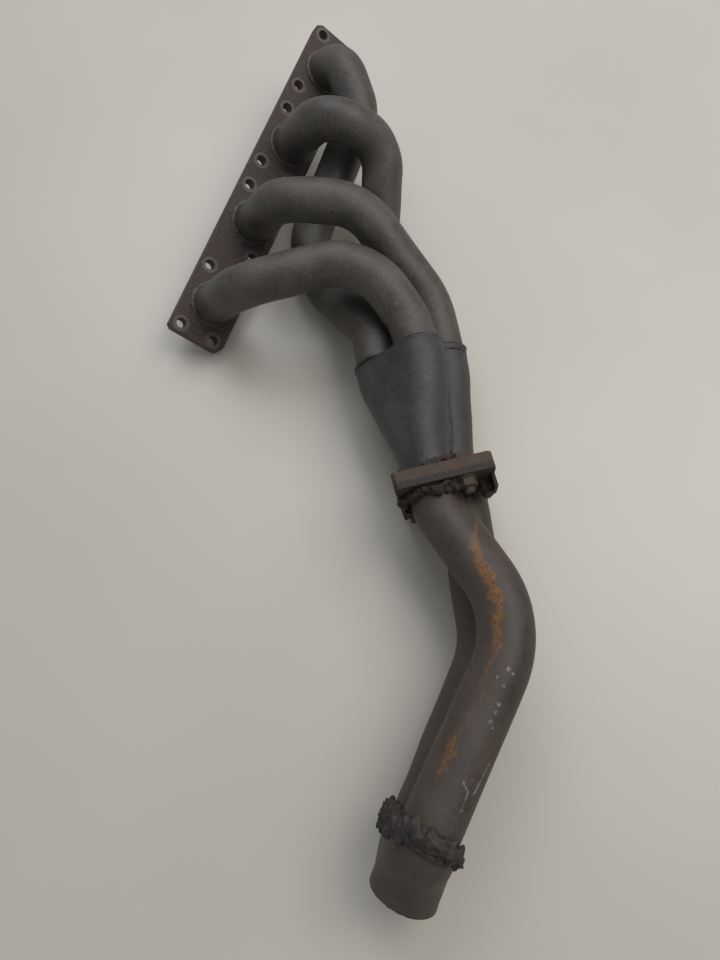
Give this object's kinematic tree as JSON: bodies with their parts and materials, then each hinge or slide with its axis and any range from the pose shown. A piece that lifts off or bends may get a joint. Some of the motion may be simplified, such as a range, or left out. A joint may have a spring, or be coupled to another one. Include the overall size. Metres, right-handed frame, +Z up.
{
  "type": "exhaust manifold",
  "caption": "Tubular steel exhaust manifold: head flange, bent primary tubes, paired collectors, bolted flange joint, secondary tubes and a merged outlet.",
  "frame": {"origin": "centre of the bounding box in plan, at the level of the surface the manifold lies on", "axes": "+Y along the manifold from the outlet towards port 1, +Z up, +X across"},
  "size_m": [0.3056, 0.7924, 0.1258],
  "materials": {
    "plate_steel": "dark, evenly rusted, matt",
    "primary_steel": "heat-darkened, lightly rusted",
    "collector_steel": "dark scale with a fine light speckle",
    "joint_steel": "thick flaking rust",
    "weld_metal": "rough, near black",
    "gasket_sheet": "dull steel-faced sheet",
    "fastener_steel": "rusted hex fasteners",
    "secondary_steel": "rust-brown with orange streaks and bare scratches"
  },
  "bodies": {
    "root": {"head_flange": "plate_steel", "primary_tube_1": "primary_steel", "primary_tube_2": "primary_steel", "primary_tube_3": "primary_steel", "primary_tube_4": "primary_steel", "port_weld_1": "weld_metal", "port_weld_2": "weld_metal", "port_weld_3": "weld_metal", "port_weld_4": "weld_metal", "collector_left": "collector_steel", "collector_right": "collector_steel", "socket_welds_left": "weld_metal", "socket_welds_right": "weld_metal", "collector_seam_weld": "weld_metal", "collector_flange": "joint_steel", "collector_flange_welds": "weld_metal", "flange_gasket": "gasket_sheet", "downpipe_flange": "joint_steel", "downpipe_flange_welds": "weld_metal", "flange_bolts": "fastener_steel", "flange_washers": "fastener_steel", "flange_nuts": "fastener_steel", "secondary_tube_front": "secondary_steel", "secondary_tube_back": "secondary_steel", "merge_weld": "weld_metal", "outlet_pipe": "secondary_steel"}
  },
  "joints": []
}
